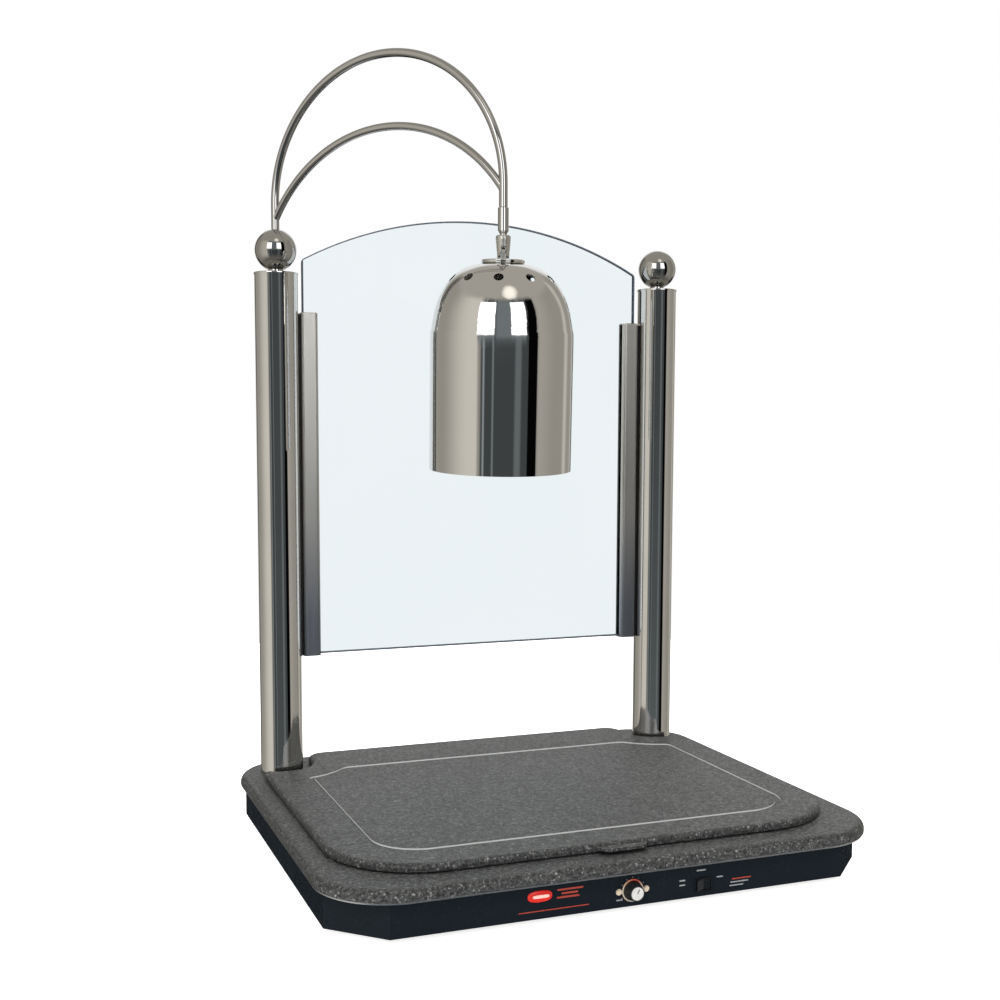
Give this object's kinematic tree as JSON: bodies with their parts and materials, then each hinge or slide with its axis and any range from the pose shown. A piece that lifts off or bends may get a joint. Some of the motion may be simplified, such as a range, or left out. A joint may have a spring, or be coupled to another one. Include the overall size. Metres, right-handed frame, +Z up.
{
  "type": "carving station heat lamp",
  "caption": "Heated stone carving station with a lift-off grooved board, glass guard between two posts, and a bell lamp on a swinging arched arm.",
  "frame": {"origin": "middle of the footprint, on the surface the rubber feet stand on", "axes": "+Z up, +X to the right seen from the controls, +Y from the controls to the glass"},
  "size_m": [0.6096, 0.527, 0.8947],
  "materials": {
    "black_enamel": "gloss enamel",
    "zinc_sheet": "zinc plated sheet",
    "steel_hardware": "zinc plated",
    "rubber": "matte",
    "aluminium_plate": "milled",
    "stone": "polished dark speckled granite",
    "silicone": "moulded silicone heater",
    "insulation": "glass wool felt",
    "phenolic": "moulded phenolic",
    "bezel_print": "cream and red printed ring",
    "cream_screws": "cream painted",
    "black_knob": "satin black",
    "bright_inlay": "spun aluminium",
    "black_plastic": "gloss black",
    "ceramic": "unglazed steatite",
    "polished_chrome": "mirror polished",
    "lead_cover": "silicone covered lead",
    "satin_metal": "satin nickel",
    "clear_glass": "clear tempered",
    "polished_shade": "mirror polished spun shade",
    "brass": "plain brass",
    "bulb_glass": "frosted reflector bulb"
  },
  "bodies": {
    "base": {"base_shell": "black_enamel", "bottom_plate": "zinc_sheet", "bottom_screws": "steel_hardware", "rubber_feet": "rubber", "foot_screws": "steel_hardware", "deck_plate": "aluminium_plate", "stone_base": "stone", "heater_blanket": "silicone", "insulation_pad": "insulation", "heater_pan": "zinc_sheet", "pan_screws": "steel_hardware", "knob_bezel": "bezel_print", "thermostat_body": "phenolic", "thermostat_screws": "cream_screws", "switch_housing": "black_plastic", "cord_gland": "black_plastic", "gland_locknut": "black_plastic", "terminal_block": "ceramic", "left_post": "polished_chrome", "right_post": "polished_chrome", "left_cap": "polished_chrome", "right_cap": "polished_chrome", "left_ball": "polished_chrome", "right_ball": "polished_chrome", "ball_studs": "steel_hardware", "post_plugs": "zinc_sheet", "post_bolts": "steel_hardware", "post_washers": "steel_hardware", "post_nuts": "steel_hardware", "post_lead": "lead_cover", "left_channel": "satin_metal", "right_channel": "satin_metal", "left_gasket": "rubber", "right_gasket": "rubber", "channel_spacers": "rubber", "channel_screws": "steel_hardware", "glass_panel": "clear_glass"},
    "knob": {"knob_body": "black_knob", "knob_face": "bright_inlay", "control_shaft": "steel_hardware"},
    "switch": {"rocker": "black_plastic"},
    "arm": {"arm_tube": "polished_chrome", "arm_lead": "lead_cover", "arm_brace": "polished_chrome", "arm_sleeve": "polished_chrome", "swivel_fork": "satin_metal", "swivel_pin": "steel_hardware"},
    "lamp": {"swivel_tongue": "satin_metal", "shade_cap": "polished_chrome", "lamp_shade": "polished_shade", "lamp_nipple": "brass", "lamp_nut": "brass", "lamp_socket": "ceramic", "bulb_base": "brass", "bulb_glass": "bulb_glass"},
    "board": {"carving_board": "stone", "board_pads": "rubber"}
  },
  "joints": [
    {"name": "thermostat_turn", "type": "hinge", "parent": "base", "child": "knob", "pos_m": [0.002, -0.2519, 0.021], "axis": [0, 1, 0], "range_deg": [-180, 120]},
    {"name": "switch_rock", "type": "hinge", "parent": "base", "child": "switch", "pos_m": [0.0815, -0.2504, 0.017], "axis": [0, 0, 1], "range_deg": [-16, 0]},
    {"name": "arm_swing", "type": "hinge", "parent": "base", "child": "arm", "pos_m": [-0.2528, 0.2, 0.683], "axis": [0, 0, 1], "range_deg": [-60, 15]},
    {"name": "lamp_tilt", "type": "hinge", "parent": "arm", "child": "lamp", "pos_m": [-0.05469, -0.0361, 0.6638], "axis": [0.9335, -0.3583, -0.0122], "range_deg": [-29, 16]},
    {"name": "board_lift", "type": "slide", "parent": "base", "child": "board", "axis": [0, 0, 1], "range_m": [0, 0.06]}
  ]
}
